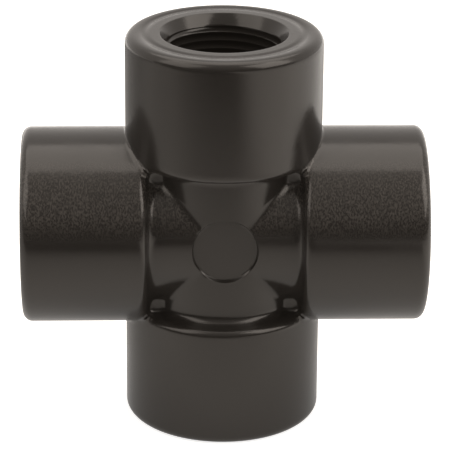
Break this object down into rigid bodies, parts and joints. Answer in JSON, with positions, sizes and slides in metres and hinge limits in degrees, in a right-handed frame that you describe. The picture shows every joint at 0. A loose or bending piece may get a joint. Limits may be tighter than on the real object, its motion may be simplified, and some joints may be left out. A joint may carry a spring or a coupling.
{
  "type": "pipe cross fitting",
  "caption": "Moulded black plastic pipe cross: equal female threaded ports at right angles in one plane, collared ends on a slimmer crossed hub.",
  "frame": {"origin": "where the two port axes cross, which is the middle of the bounding box", "axes": "+Z along the vertical run, out of the top port; +X along the horizontal run, out of the right port; -Y towards the side with the round recess"},
  "size_m": [0.1068, 0.052, 0.1068],
  "materials": {
    "body": "black glass-filled polypropylene, injection moulded, satin"
  },
  "bodies": {
    "root": {"cross_body": "body"}
  },
  "joints": []
}
